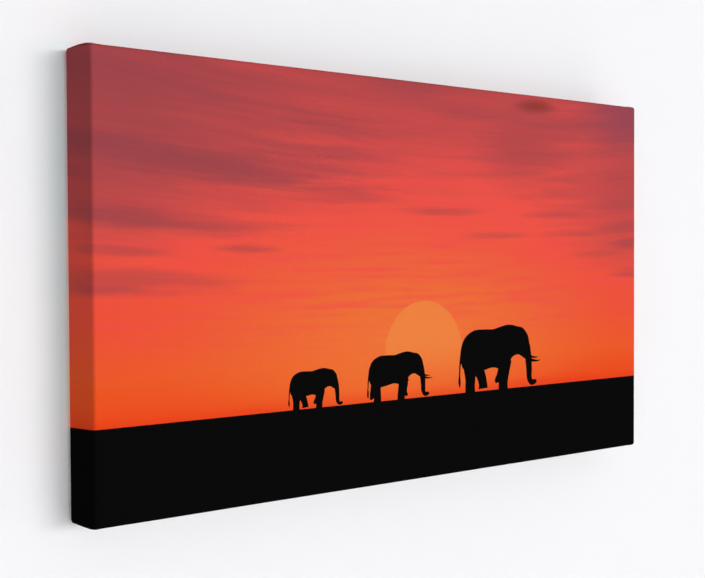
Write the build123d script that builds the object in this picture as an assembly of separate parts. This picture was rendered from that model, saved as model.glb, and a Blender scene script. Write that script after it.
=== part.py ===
from build123d import *
import math
import os

# A gallery-wrapped canvas: printed cloth folded round four keyed stretcher bars, ready to hang.
#
# Row frame, in millimetres: +X to the viewer's right, +Y towards the wall, +Z up.
# The origin lies on the wall, behind the middle of the picture.
#
# Each bar is made in its own frame and then turned into place: X runs along the bar, Z runs from
# its outer edge towards the middle of the picture, and -Y runs from its back to its front.

# Driving dimensions
FRAME_WIDTH = 600.0  # over the outsides of the bars
FRAME_HEIGHT = 340.0
BAR_WIDTH = 38.0  # across the picture plane
BAR_DEPTH = 38.0  # back to front, bead included
CLOTH = 0.5  # thickness of the primed canvas
STAND_OFF = 4.5  # from the wall to the back of the wood

# Bar section
BEAD_TOP = 5.0  # width of the raised bead that carries the cloth
BEAD_FOOT = 7.0
BEVEL_START_DEPTH = 34.5  # depth of the wood beside the bead
INNER_EDGE_DEPTH = 30.0  # depth of the wood at the inner edge
OUTER_ROUNDING = 2.0
BEAD_ROUNDING = 1.0
EDGE_ROUNDING = 1.5
CORNER_ROUNDING = 4.0  # of the frame's four outer corners, seen from the front

# Corner joint: each end has a tongue in one layer and a slot in the other
LAYER_THICKNESS = 6.0
BACK_CHEEK = 10.0  # wood behind the two layers
JOINT_CLEARANCE = 0.1
TONGUE_SETBACK = 0.2  # the tongue stops short of its neighbour's outer face

# Keys: hardwood wedges between a tongue and the shoulder of the slot
KEY_GAP_OUTER = 6.0  # width of the wedge space at the outer edge of the bar
KEY_TAPER = 0.158  # widening of that space per millimetre towards the inner edge
KEY_INSERTED = 23.0
KEY_PROUD = 9.0
KEY_SIDE_CLEARANCE = 0.1
KEY_FACE_CLEARANCE = 0.3
KEY_CORNER_ROUNDING = 1.0

# Canvas
FLAP_WIDTH = 20.0  # turned over on to the back
CLOTH_INNER_ROUNDING = 1.4  # round the picture face
CLOTH_CORNER_ROUNDING = 2.2  # inside the four corners, seen from the front

# Staples
STAPLE_CROWN = 11.3
STAPLE_LEG = 8.0  # below the cloth's surface
STAPLE_WIRE_WIDTH = 1.2
STAPLE_WIRE_THICKNESS = 0.55
STAPLE_ROUNDING = 0.4
STAPLE_LINE = 10.0  # distance from the outer edge of the bar
STAPLE_END_MARGIN = 30.0
STAPLE_PITCH = 45.0
STAPLE_SWING = 7.0  # the most that a hand-held gun turns a staple off the line, in degrees
SWING_STEP = 2.4  # radians from one staple to the next in the wave that turns them
CORNER_STAPLE_ALONG = 15.0  # one more staple holds each folded corner down
CORNER_STAPLE_LINE = 7.5
CORNER_STAPLE_LIFT = 1.0  # the folded cloth under it is this much thicker
CORNER_STAPLE_TURN = 42.0  # degrees

# Ring hangers
HANGER_INSET = 29.0  # from the outer edge of the side bar
HANGER_DROP = 70.0  # pivot below the top of the frame
RING_WIRE_RADIUS = 1.2
RING_HALF_WIDTH = 8.0  # on the wire's centre line
RING_ARM = 4.0
RING_CORNER_RADIUS = 2.2
RING_LEAN = 5.0  # degrees that the strap holds a hanging ring out from the vertical
STRAP_WIDTH = 10.0
STRAP_LAYER = 0.7
STRAP_SLIT = 0.2
STRAP_LENGTH = 23.5  # pivot to end
STRAP_HOLE_DROP = 18.0
STRAP_HOLE_RADIUS = 1.8
LOOP_INNER_RADIUS = 1.3
LOOP_OUTER_RADIUS = 2.1

# Hanger screws
SCREW_HEAD_RADIUS = 3.0
SCREW_HEAD_HEIGHT = 1.8
SCREW_SHANK_RADIUS = 1.5
SCREW_LENGTH = 14.0  # under the head
SCREW_TIP = 3.0
SCREW_POINT_RADIUS = 0.2
RECESS_LENGTH = 3.4
RECESS_WIDTH = 0.8
RECESS_DEPTH = 0.9

# Wall bumpers
BUMPER_RADIUS = 5.5
BUMPER_ROUNDING = 2.0
BUMPER_INSET = 29.0  # from the outer edge of the bottom bar
BUMPER_FROM_SIDE = 50.0  # from the side of the frame

# Derived places
WOOD_BACK = -STAND_OFF
WOOD_FRONT = WOOD_BACK - BAR_DEPTH
CLOTH_BACK = WOOD_BACK + CLOTH
CLOTH_FRONT = WOOD_FRONT - CLOTH
STRAP_THICKNESS = 2 * STRAP_LAYER + STRAP_SLIT
PIVOT_Y = WOOD_BACK + LOOP_OUTER_RADIUS
PIVOT_Z = FRAME_HEIGHT / 2 - HANGER_DROP
BEYOND = 1.0  # how far a cutting tool runs past what it cuts

# Depths of the two joint layers below the back of a bar
LAYER_A = (BACK_CHEEK, BACK_CHEEK + LAYER_THICKNESS)
LAYER_B = (BACK_CHEEK + LAYER_THICKNESS, BACK_CHEEK + 2 * LAYER_THICKNESS)

# Each bar's name, length, back outer corner where it starts, and turn about +Y
BARS = {
    "bottom": (FRAME_WIDTH, (-FRAME_WIDTH / 2, -FRAME_HEIGHT / 2), 0),
    "right": (FRAME_HEIGHT, (FRAME_WIDTH / 2, -FRAME_HEIGHT / 2), -90),
    "top": (FRAME_WIDTH, (FRAME_WIDTH / 2, FRAME_HEIGHT / 2), 180),
    "left": (FRAME_HEIGHT, (-FRAME_WIDTH / 2, FRAME_HEIGHT / 2), 90),
}

# The corners of the cloth are folded on to these two sides
FOLDED_SIDES = ("bottom", "top")

# Where a bar's start and its far end are, seen from the front
BAR_ENDS = {
    "bottom": ("left", "right"),
    "right": ("lower", "upper"),
    "top": ("right", "left"),
    "left": ("upper", "lower"),
}


def in_place(shape, side):
    """Turns a shape from a bar's own frame to that side of the picture."""
    _, (x, z), turn = BARS[side]
    return Location((x, WOOD_BACK, z), (0, turn, 0)) * shape


def prism(points, near, far):
    """Extrudes an outline of (along, inward) points between two depths below a bar's back."""
    outline = Plane.XZ.offset(near) * make_face(Polyline(*points, close=True))
    return extrude(outline, amount=far - near)


def at_end(points, length, at_start):
    """An outline drawn for a bar's start, or its mirror image at the far end."""
    return points if at_start else [(length - along, inward) for along, inward in points]


def joint_layers(at_start):
    """The depths of the tongue and of the slot at one end of a bar."""
    return (LAYER_A, LAYER_B) if at_start else (LAYER_B, LAYER_A)


def key_gap(inward):
    """Width of the wedge space at a distance from the bar's outer edge."""
    return KEY_GAP_OUTER + KEY_TAPER * inward


def bar_section():
    """The bar's cross-section, in the plane across its length."""
    corners = [
        (0, 0),
        (0, BAR_WIDTH),
        (-INNER_EDGE_DEPTH, BAR_WIDTH),
        (-BEVEL_START_DEPTH, BEAD_FOOT),
        (-BAR_DEPTH, BEAD_TOP),
        (-BAR_DEPTH, 0),
    ]
    section = make_face(Polyline(*corners, close=True))
    for corner, radius in (
        (corners[1], EDGE_ROUNDING),
        (corners[2], EDGE_ROUNDING),
        (corners[4], BEAD_ROUNDING),
        (corners[5], OUTER_ROUNDING),
    ):
        vertex = section.vertices().sort_by_distance((*corner, 0))[0]
        section = fillet(vertex, radius)
    return Plane.YZ * section


def stretcher_bar(length):
    """A mitred bar: its start has its tongue in layer A, its far end in layer B."""
    bar = extrude(bar_section(), amount=length)
    past = BAR_WIDTH + BEYOND
    mitre = [(-BEYOND, -BEYOND), (-BEYOND, past), (past, past)]
    tongue = [
        (TONGUE_SETBACK, 0),
        (BAR_WIDTH, 0),
        (BAR_WIDTH, BAR_WIDTH),
        (TONGUE_SETBACK, BAR_WIDTH),
    ]
    slot = [
        (-BEYOND, -BEYOND),
        (BAR_WIDTH + key_gap(-BEYOND), -BEYOND),
        (BAR_WIDTH + key_gap(past), past),
        (-BEYOND, past),
    ]
    waste = corner_waste()
    for at_start in (True, False):
        (near, far), slot_layer = joint_layers(at_start)
        bar -= prism(at_end(mitre, length, at_start), -BEYOND, BAR_DEPTH + BEYOND)
        tongue_outline = at_end(tongue, length, at_start)
        bar += prism(tongue_outline, near + JOINT_CLEARANCE, far - JOINT_CLEARANCE)
        bar -= prism(at_end(slot, length, at_start), *slot_layer)
        bar -= waste if at_start else Pos(length, 0, 0) * Rot(0, -90, 0) * waste
    return bar


def corner_waste():
    """What rounding takes off the frame's outer corner, at a bar's start."""
    reach = CORNER_ROUNDING + BEYOND
    square = Pos(CORNER_ROUNDING - reach / 2, CORNER_ROUNDING - reach / 2) * Rectangle(reach, reach)
    square -= Pos(CORNER_ROUNDING, CORNER_ROUNDING) * Circle(CORNER_ROUNDING)
    return extrude(Plane.XZ.offset(-BEYOND) * square, amount=BAR_DEPTH + 2 * BEYOND)


def corner_key(length, at_start):
    """A wedge pushed in from the bar's inner edge, between its slot and the neighbour's tongue."""
    tip = BAR_WIDTH - KEY_INSERTED
    head = BAR_WIDTH + KEY_PROUD
    straight_side = BAR_WIDTH + KEY_SIDE_CLEARANCE
    tapered_side = BAR_WIDTH - KEY_SIDE_CLEARANCE
    points = [
        (straight_side, tip),
        (tapered_side + key_gap(tip), tip),
        (tapered_side + key_gap(head), head),
        (straight_side, head),
    ]
    _, (near, far) = joint_layers(at_start)
    outline = at_end(points, length, at_start)
    wedge = prism(outline, near + KEY_FACE_CLEARANCE, far - KEY_FACE_CLEARANCE)
    return fillet(wedge.edges().filter_by(Axis.Y), KEY_CORNER_ROUNDING)


def canvas():
    """The cloth: picture face, four wrapped sides, and a flap all round the back."""
    depth = CLOTH_BACK - CLOTH_FRONT
    middle = (CLOTH_BACK + CLOTH_FRONT) / 2
    outside = Pos(0, middle, 0) * Box(FRAME_WIDTH + 2 * CLOTH, depth, FRAME_HEIGHT + 2 * CLOTH)
    outside = rounded_front(outside, CLOTH_INNER_ROUNDING + CLOTH, CLOTH_CORNER_ROUNDING + CLOTH)
    inside = Pos(0, (WOOD_BACK + WOOD_FRONT) / 2, 0) * Box(FRAME_WIDTH, BAR_DEPTH, FRAME_HEIGHT)
    inside = rounded_front(inside, CLOTH_INNER_ROUNDING, CLOTH_CORNER_ROUNDING)
    opening_width = FRAME_WIDTH + 2 * CLOTH - 2 * FLAP_WIDTH
    opening_height = FRAME_HEIGHT + 2 * CLOTH - 2 * FLAP_WIDTH
    opening = Pos(0, CLOTH_BACK, 0) * Box(opening_width, 4 * CLOTH, opening_height)
    return outside - inside - opening


def rounded_front(block, front_radius, corner_radius):
    """Rounds a block's four corners and then the edges round its front face."""
    block = fillet(block.edges().filter_by(Axis.Y), corner_radius)
    return fillet(block.faces().sort_by(Axis.Y)[0].edges(), front_radius)


def staple():
    """One staple in a bar's frame, its crown on the cloth and centred over the origin."""
    half = STAPLE_CROWN / 2
    crown = CLOTH + STAPLE_WIRE_THICKNESS
    foot = CLOTH - STAPLE_LEG
    inner = half - STAPLE_WIRE_THICKNESS
    outline = [(-half, foot), (-half, crown), (half, crown), (half, foot)]
    hollow = [(inner, foot), (inner, CLOTH), (-inner, CLOTH), (-inner, foot)]
    wire = make_face(Polyline(*outline, *hollow, close=True))
    wire = fillet(wire.vertices().group_by(Axis.Y)[-1], STAPLE_ROUNDING)
    return Pos(0, 0, -STAPLE_WIRE_WIDTH / 2) * extrude(wire, amount=STAPLE_WIRE_WIDTH)


def staple_row(length):
    """The staples along one bar, each a little off the line."""
    run = length - 2 * STAPLE_END_MARGIN
    gaps = round(run / STAPLE_PITCH)
    one = staple()
    row = []
    for number in range(gaps + 1):
        along = STAPLE_END_MARGIN + run * number / gaps
        swing = STAPLE_SWING * math.sin(SWING_STEP * number + length)
        row.append(Location((along, 0, STAPLE_LINE), (0, swing, 0)) * one)
    return row


def corner_staples(length):
    """The two staples that hold the folded corners down at the ends of one bar."""
    one = staple()
    pair = []
    for along, turn in (
        (CORNER_STAPLE_ALONG, -CORNER_STAPLE_TURN),
        (length - CORNER_STAPLE_ALONG, CORNER_STAPLE_TURN),
    ):
        pair.append(Location((along, CORNER_STAPLE_LIFT, CORNER_STAPLE_LINE), (0, turn, 0)) * one)
    return pair


def hanger_strap():
    """A steel strip folded double round the ring; its pivot is over the origin."""
    loop = Pos(LOOP_OUTER_RADIUS, 0) * Circle(LOOP_OUTER_RADIUS)
    plate = Pos(STRAP_THICKNESS / 2, -STRAP_LENGTH / 2) * Rectangle(STRAP_THICKNESS, STRAP_LENGTH)
    slit_length = STRAP_LENGTH - LOOP_OUTER_RADIUS
    slit_middle = -LOOP_OUTER_RADIUS - slit_length / 2
    slit = Pos(STRAP_THICKNESS / 2, slit_middle) * Rectangle(STRAP_SLIT, slit_length)
    bore = Pos(LOOP_OUTER_RADIUS, 0) * Circle(LOOP_INNER_RADIUS)
    section = Plane.YZ * (loop + plate - slit - bore)
    strip = extrude(section, amount=STRAP_WIDTH / 2, both=True)
    end_radius = STRAP_WIDTH / 2
    straight = STRAP_LENGTH - end_radius + LOOP_OUTER_RADIUS
    face = Pos(0, LOOP_OUTER_RADIUS - straight / 2) * Rectangle(STRAP_WIDTH, straight)
    face += Pos(0, end_radius - STRAP_LENGTH) * Circle(end_radius)
    face -= Pos(0, -STRAP_HOLE_DROP) * Circle(STRAP_HOLE_RADIUS)
    return strip & extrude(Plane.XZ * face, amount=2 * LOOP_OUTER_RADIUS + BEYOND, both=True)


def hanger_ring():
    """A closed D of round wire, hanging from its straight leg on the pivot axis."""
    outline = Rectangle(2 * RING_HALF_WIDTH, RING_ARM, align=(Align.CENTER, Align.MAX))
    outline += Pos(0, -RING_ARM) * Circle(RING_HALF_WIDTH)
    outline -= Pos(0, RING_HALF_WIDTH) * Rectangle(4 * RING_HALF_WIDTH, 2 * RING_HALF_WIDTH)
    outline = fillet(outline.vertices().group_by(Axis.Y)[-1], RING_CORNER_RADIUS)
    path = (Plane.XZ * outline).wires()[0]
    leg = path.edges().sort_by(Axis.Z)[-1]
    section = Plane(origin=leg @ 0.5, z_dir=leg % 0.5) * Circle(RING_WIRE_RADIUS)
    return Rot(RING_LEAN, 0, 0) * sweep(section, path=path)


def hanger_screw():
    """A pan-head wood screw with a cross recess; the underside of its head is at the origin."""
    head = Cylinder(SCREW_HEAD_RADIUS, SCREW_HEAD_HEIGHT, align=(Align.CENTER, Align.CENTER, Align.MIN))
    head = fillet(head.edges().group_by(Axis.Z)[-1], SCREW_HEAD_HEIGHT / 2)
    for turn in (0, 90):
        slot = Box(RECESS_LENGTH, RECESS_WIDTH, 2 * RECESS_DEPTH)
        head -= Location((0, 0, SCREW_HEAD_HEIGHT), (0, 0, turn)) * slot
    straight = SCREW_LENGTH - SCREW_TIP
    shank = Pos(0, 0, -straight / 2) * Cylinder(SCREW_SHANK_RADIUS, straight)
    tip = Pos(0, 0, -straight - SCREW_TIP / 2) * Cone(SCREW_POINT_RADIUS, SCREW_SHANK_RADIUS, SCREW_TIP)
    return Rot(-90, 0, 0) * (head + shank + tip)


def wall_bumper():
    """A soft round pad stuck to the wood; its flat tip touches the wall."""
    pad = Cylinder(BUMPER_RADIUS, STAND_OFF, align=(Align.CENTER, Align.CENTER, Align.MIN))
    pad = fillet(pad.edges().group_by(Axis.Z)[-1], BUMPER_ROUNDING)
    return Rot(-90, 0, 0) * pad


def all_parts():
    """Every sub-part by node name, in the row frame."""
    parts = {"canvas": canvas()}
    for side, (length, _, _) in BARS.items():
        start, end = BAR_ENDS[side]
        parts[f"{side}_bar"] = in_place(stretcher_bar(length), side)
        parts[f"{side}_bar_key_{start}"] = in_place(corner_key(length, True), side)
        parts[f"{side}_bar_key_{end}"] = in_place(corner_key(length, False), side)
        placed = staple_row(length)
        if side in FOLDED_SIDES:
            placed += corner_staples(length)
        parts[f"{side}_staples"] = in_place(Compound(children=placed), side)
    for side, sign in (("left", -1), ("right", 1)):
        hanger_x = sign * (FRAME_WIDTH / 2 - HANGER_INSET)
        screw_z = PIVOT_Z - STRAP_HOLE_DROP
        screw_y = WOOD_BACK + STRAP_THICKNESS
        bumper_x = sign * (FRAME_WIDTH / 2 - BUMPER_FROM_SIDE)
        bumper_z = BUMPER_INSET - FRAME_HEIGHT / 2
        parts[f"{side}_hanger_strap"] = Pos(hanger_x, WOOD_BACK, PIVOT_Z) * hanger_strap()
        parts[f"{side}_hanger_ring"] = Pos(hanger_x, PIVOT_Y, PIVOT_Z) * hanger_ring()
        parts[f"{side}_hanger_screw"] = Pos(hanger_x, screw_y, screw_z) * hanger_screw()
        parts[f"{side}_wall_bumper"] = Pos(bumper_x, WOOD_BACK, bumper_z) * wall_bumper()
    return parts


os.makedirs("parts", exist_ok=True)
for name, part in all_parts().items():
    export_step(part, f"parts/{name}.step")
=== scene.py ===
import math
import random

import bmesh
import bpy
from mathutils import Matrix, Vector, geometry, noise


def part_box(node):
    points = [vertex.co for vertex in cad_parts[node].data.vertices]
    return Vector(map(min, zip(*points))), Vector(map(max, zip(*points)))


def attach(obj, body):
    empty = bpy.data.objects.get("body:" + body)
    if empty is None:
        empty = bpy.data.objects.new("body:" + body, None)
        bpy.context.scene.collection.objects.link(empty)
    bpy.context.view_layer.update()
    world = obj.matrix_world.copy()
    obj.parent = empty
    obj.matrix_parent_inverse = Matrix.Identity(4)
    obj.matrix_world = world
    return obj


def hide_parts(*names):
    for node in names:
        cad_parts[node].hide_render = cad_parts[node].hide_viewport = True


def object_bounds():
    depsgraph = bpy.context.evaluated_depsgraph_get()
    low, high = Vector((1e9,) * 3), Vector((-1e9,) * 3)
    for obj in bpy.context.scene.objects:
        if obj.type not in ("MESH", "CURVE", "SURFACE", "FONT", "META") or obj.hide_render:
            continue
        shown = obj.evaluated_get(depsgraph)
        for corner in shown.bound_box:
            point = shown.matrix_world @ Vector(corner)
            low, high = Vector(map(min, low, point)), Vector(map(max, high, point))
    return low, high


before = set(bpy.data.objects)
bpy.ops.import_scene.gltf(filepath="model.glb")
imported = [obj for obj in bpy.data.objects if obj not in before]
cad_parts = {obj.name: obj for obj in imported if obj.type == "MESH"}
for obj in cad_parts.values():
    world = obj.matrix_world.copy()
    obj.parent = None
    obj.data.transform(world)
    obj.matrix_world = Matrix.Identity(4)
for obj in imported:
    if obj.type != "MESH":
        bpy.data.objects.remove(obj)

# A printed, gallery-wrapped canvas on its stretcher frame, in the row frame: metres, +X to the
# viewer's right, +Y into the wall, +Z up. The frame, keys, staples, hangers and bumpers are the CAD
# nodes with detailed materials. The cloth is modelled here.

CAD_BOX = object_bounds()
MM = 0.001

# The cloth's outside, from the frame
CLOTH_LOW, CLOTH_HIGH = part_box("canvas")
HALF_W = CLOTH_HIGH.x
HALF_H = CLOTH_HIGH.z
FRONT = CLOTH_LOW.y
BACK = CLOTH_HIGH.y
DEPTH = BACK - FRONT
THICKNESS = CLOTH_HIGH.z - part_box("top_bar")[1].z
WALL = CAD_BOX[1].y

# The wrapped cloth
FRONT_RADIUS = 2.4 * MM
BACK_RADIUS = 1.3 * MM
FLAP = 19.6 * MM  # width of the cloth turned on to the back
BLEED = 7 * MM  # how far the print runs on to the back
RELIEF = 0.12 * MM  # unevenness of the stretched cloth
RELIEF_SCALE = 14

# Spacing of the mesh's lines
PITCH = 8 * MM
CORNER_PITCH = 2 * MM
DEPTH_PITCH = 3 * MM
FLAP_PITCH = 1.6 * MM
CORNER_ZONE = 30 * MM  # finer mesh within this of the corners
SAME_PLACE = 0.002 * MM  # corners of the mesh nearer than this are joined
SHARP_ANGLE = 50  # degrees

# Folded corners
FOLD_INSET = 0.8 * MM  # from the corner line to the fold, away from the rounded front
FOLD_RUN_IN = 6 * MM  # depth over which the fold leaves the rounded front
HEM_TUCK = 2.5 * MM  # how far the hem is turned under
HEM_START = 3 * MM  # depth by which the fold is full and from which the hem widens
HEM_RUN_IN = 5 * MM
TAB = 8 * MM  # of the side's cloth, hidden under the fold
TAB_SUNK = 0.3 * MM
TAB_RUN_IN = 2 * MM
EAR = 20 * MM  # width of the folded corner where it meets the back edge
EAR_MARGIN = 4 * MM  # how far its layers reach past that width
EAR_SLOPE = 4.5 * MM  # over which they run out
EAR_RUN_IN = 8 * MM
PUFF_REACH = 10 * MM
PUFF_SHAPE = 0.8
CORNER_PUFF = {(-1, 1): 0.8 * MM, (-1, -1): 0.3 * MM, (1, 1): 0.6 * MM, (1, -1): 0.5 * MM}

# Flaps on the back
LEG_SIZE = 3 * MM  # a staple's leg is smaller than this along the bar
PUCKER = 0.7 * MM
PUCKER_START = 6 * MM  # from a staple
PUCKER_FULL = 18 * MM
WAVY_CUT = 0.5 * MM

# Threads frayed out of the cut edges
THREADS = 150
THREAD_SEED = 7
THREAD_WIDTH = 0.28 * MM
THREAD_MARGIN = 6 * MM  # kept clear of the folded corners
THREAD_START = 1 * MM  # inside the cut edge
THREAD_RISE = 0.3 * MM
THREAD_POINTS = 5
THREAD_SIDES = 4

# The picture, from fractions of the face
HORIZON = (0.2065 - 0.5) * 2 * HALF_H
HORIZON_DROP = 2 * MM  # at the back of the left and right sides
HORIZON_ZONE = 25 * MM  # the rows within this of the horizon take part in the drop
SUN_CENTRE = ((0.5204 - 0.5) * 2 * HALF_W, (0.319 - 0.5) * 2 * HALF_H)
SUN_RADIUS = 0.0742 * 2 * HALF_W

# Slots of the cloth's materials
SKY, INK, PRIMED, RAW = range(4)

SIDES = ("top", "bottom", "left", "right")
UPRIGHT = ("left", "right")


def clamp(value, low, high):
    return max(low, min(high, value))


def smooth(value):
    """0 below 0, 1 above 1, and an even curve between."""
    value = clamp(value, 0.0, 1.0)
    return value * value * (3 - 2 * value)


# ---------------- The cloth's shape ----------------


def edge_steps(radius):
    """Distances from a sharp edge whose points are evenly spaced once the edge is rounded."""
    return [radius * (1 - math.tan(math.radians(angle))) for angle in (45, 30, 15, 0)]


def even_steps(start, end, pitch):
    """Evenly spaced values after start, up to and including end."""
    count = max(1, round((end - start) / pitch))
    return [start + (end - start) * number / count for number in range(1, count + 1)]


# Distances from a corner line: the rounded edge, and the rest of the corner zone from its end on
EDGE = edge_steps(FRONT_RADIUS)
NEAR = [FRONT_RADIUS] + even_steps(FRONT_RADIUS, CORNER_ZONE, CORNER_PITCH)
ROUNDING = len(EDGE) - 1  # lines before the end of the rounded edge


def middle_lines(half):
    """Grid lines between the two corner zones."""
    return even_steps(-half + CORNER_ZONE, half - CORNER_ZONE, PITCH)[:-1]


def moved_to(lines, value):
    """The lines, with the closest one moved to a value."""
    closest = min(lines, key=lambda line: abs(line - value))
    return [value if line == closest else line for line in lines]


def all_lines(half, middle):
    """Grid lines from -half to half, finer in the corner zones and at the rounded edges."""
    near = EDGE[:ROUNDING] + NEAR
    return [-half + step for step in near] + middle + [half - step for step in reversed(near)]


MIDDLE_X = middle_lines(HALF_W)
X_LINES = all_lines(HALF_W, MIDDLE_X)
Z_LINES = all_lines(HALF_H, moved_to(middle_lines(HALF_H), HORIZON))
FACE_X = X_LINES[ROUNDING:-ROUNDING]
FACE_Z = Z_LINES[ROUNDING:-ROUNDING]
DEPTH_LINES = (
    EDGE
    + even_steps(FRONT_RADIUS, DEPTH - BACK_RADIUS, DEPTH_PITCH)[:-1]
    + [DEPTH - step for step in reversed(edge_steps(BACK_RADIUS))]
)
# From the back edge, which is the last depth line, to the cut edge
FLAP_LINES = (
    edge_steps(BACK_RADIUS)[1:]
    + even_steps(BACK_RADIUS, BLEED, CORNER_PITCH)
    + even_steps(BLEED, FLAP, FLAP_PITCH)
)


def rounded(x, y, z, lift=0.0):
    """The cloth's outer surface at a point of its sharp-edged box, lifted off it along the normal."""
    radius = FRONT_RADIUS + (BACK_RADIUS - FRONT_RADIUS) * smooth((y - FRONT) / DEPTH)
    core = Vector((
        clamp(x, radius - HALF_W, HALF_W - radius),
        clamp(y, FRONT + radius, BACK - radius),
        clamp(z, radius - HALF_H, HALF_H - radius),
    ))
    normal = (Vector((x, y, z)) - core).normalized()
    return core + normal * (radius + lift)


def relief(x, y, z):
    """The slight unevenness of a hand-stretched cloth."""
    return RELIEF * noise.noise(Vector((x, y, z)) * RELIEF_SCALE)


def puff(side_x, side_z, aside, depth):
    """How far a folded corner's loose cloth stands off; aside is the distance from the corner line."""
    along = math.sin(math.pi * clamp(depth / DEPTH, 0, 1)) ** PUFF_SHAPE
    return CORNER_PUFF[side_x, side_z] * along * math.exp(-((aside / PUFF_REACH) ** 2))


def ear_layers(aside, depth):
    """Thickness of the two layers folded under the top and bottom sides, near a corner."""
    under = smooth((min(depth, EAR) + EAR_MARGIN - aside) / EAR_SLOPE)
    return 2 * THICKNESS * smooth(depth / EAR_RUN_IN) * under


def flap_layers(aside):
    """Thickness of what lies under the folded flaps on the back, near a corner."""
    return 2 * THICKNESS * (1 - smooth((aside - EAR) / EAR_MARGIN))


def leg_places(side):
    """Where the legs of one side's staples are, along the bar."""
    axis = 2 if side in UPRIGHT else 0
    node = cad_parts[f"{side}_staples"]
    values = sorted(vertex.co[axis] for vertex in node.data.vertices if vertex.co.y > BACK)
    groups = [[values[0]]]
    for value in values[1:]:
        if value - groups[-1][-1] > LEG_SIZE:
            groups.append([])
        groups[-1].append(value)
    return [(group[0] + group[-1]) / 2 for group in groups]


STAPLE_LEGS = {side: leg_places(side) for side in SIDES}


def pucker(side, along, inward):
    """How far a flap's free edge stands off the wood between its staples."""
    gap = min(abs(along - place) for place in STAPLE_LEGS[side])
    free = smooth((gap - PUCKER_START) / (PUCKER_FULL - PUCKER_START))
    vary = 0.75 + 0.5 * noise.noise(Vector((along * 20, len(side), 0)))
    return PUCKER * vary * free * smooth(inward / FLAP)


def cut_edge(side, along, inward):
    """A flap line's distance from the back edge, with the hand-cut edge a little wavy."""
    wave = noise.noise(Vector((along * 45, 7.0 * len(side), 0)))
    return inward + WAVY_CUT * (wave - 0.5) * smooth(inward / FLAP)


class Cloth:
    """Collects the cloth's faces, with the flat print coordinates of each corner."""

    def __init__(self):
        self.mesh = bmesh.new()
        self.flat = self.mesh.loops.layers.uv.new("print")

    def face(self, corners, material):
        """corners holds (place, flat) pairs."""
        face = self.mesh.faces.new([self.mesh.verts.new(place) for place, _ in corners])
        face.material_index = material
        face.smooth = True
        for loop, (_, flat) in zip(face.loops, corners):
            loop[self.flat].uv = flat

    def grid(self, rows, outward, material):
        """rows holds rows of (place, flat) pairs; material takes the middle of a quad's flat corners."""
        middle = rows[len(rows) // 2]
        column = len(middle) // 2
        origin = middle[column][0]
        along = middle[column - 1][0] - origin
        beside = rows[len(rows) // 2 - 1][column][0] - origin
        turned = along.cross(beside).dot(outward) < 0
        for upper, lower in zip(rows, rows[1:]):
            for first in range(len(upper) - 1):
                corners = [upper[first], upper[first + 1], lower[first + 1], lower[first]]
                if turned:
                    corners.reverse()
                flat = sum((Vector(corner[1]) for corner in corners), Vector((0, 0))) / 4
                self.face(corners, material(flat))


def print_at(flat):
    """The print on the face or a wrapped side, and the bare ground past its end on the back."""
    beyond_x = abs(flat.x) - HALF_W - DEPTH
    beyond_z = abs(flat.y) - HALF_H - DEPTH
    if max(beyond_x, beyond_z) > BLEED:
        return PRIMED
    return INK if flat.y < HORIZON else SKY


def lowered(z, depth):
    """A side's row, moved so that the horizon drops a little towards the back."""
    near = smooth(1 - abs(z - HORIZON) / HORIZON_ZONE)
    return z - HORIZON_DROP * near * clamp(depth / DEPTH, 0, 1)


def side_wall(cloth, sign):
    """The left or right side with its flap, from the picture's edge to the cut edge on the back."""
    side = "left" if sign < 0 else "right"
    rows = []
    for z in Z_LINES:
        row = []
        corner = 1 if z > 0 else -1
        for depth in DEPTH_LINES:
            lift = puff(sign, corner, HALF_H - abs(z), depth) + relief(sign * HALF_W, FRONT + depth, z)
            place = rounded(sign * HALF_W, FRONT + depth, lowered(z, depth), lift)
            row.append((place, (sign * (HALF_W + depth), z)))
        for line in FLAP_LINES:
            inward = cut_edge(side, z, line)
            lift = pucker(side, z, inward)
            place = rounded(sign * (HALF_W - inward), BACK, lowered(z, DEPTH), lift)
            row.append((place, (sign * (HALF_W + DEPTH + line), z)))
        rows.append(row)
    cloth.grid(rows, Vector((sign, 0, 0)), print_at)


def corner_tab(cloth, sign, corner):
    """The start of the fold: the side's cloth, turned over the corner and hidden under the next side."""
    asides = EDGE + even_steps(FRONT_RADIUS, TAB, CORNER_PITCH)
    rows = []
    for depth in DEPTH_LINES:
        row = []
        for aside in asides:
            sunk = TAB_SUNK * smooth((aside - FRONT_RADIUS) / TAB_RUN_IN)
            lift = puff(sign, corner, aside, depth) + relief(sign * HALF_W, FRONT + depth, corner * HALF_H)
            place = rounded(sign * (HALF_W - aside), FRONT + depth, corner * HALF_H, lift - sunk)
            row.append((place, (sign * (HALF_W + depth), corner * (HALF_H + aside))))
        rows.append(row)
    ground = INK if corner < 0 else SKY
    cloth.grid(rows, Vector((0, 0, corner)), lambda flat: ground)


# The hem of a folded corner, from its end under the side to the fold: (tuck, turn in degrees)
HEM = [(HEM_TUCK, 180)] + [(0, turn) for turn in (180, 144, 108, 72, 36)]


def folded_side(cloth, corner):
    """The top or bottom side with its flap; the spare cloth of both corners is tucked under its ends."""
    side = "top" if corner > 0 else "bottom"
    lines = [(depth, None) for depth in DEPTH_LINES] + [(DEPTH, line) for line in FLAP_LINES]
    rows = []
    for depth, line in lines:
        left_end, right_end = (fold_end(corner, sign, depth, line, side) for sign in (-1, 1))
        middle = [folded_point(corner, x, 0.0, depth, line, side) for x in MIDDLE_X]
        rows.append(left_end + middle + right_end[::-1])
    cloth.grid(rows, Vector((0, 0, corner)), print_at)


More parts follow.
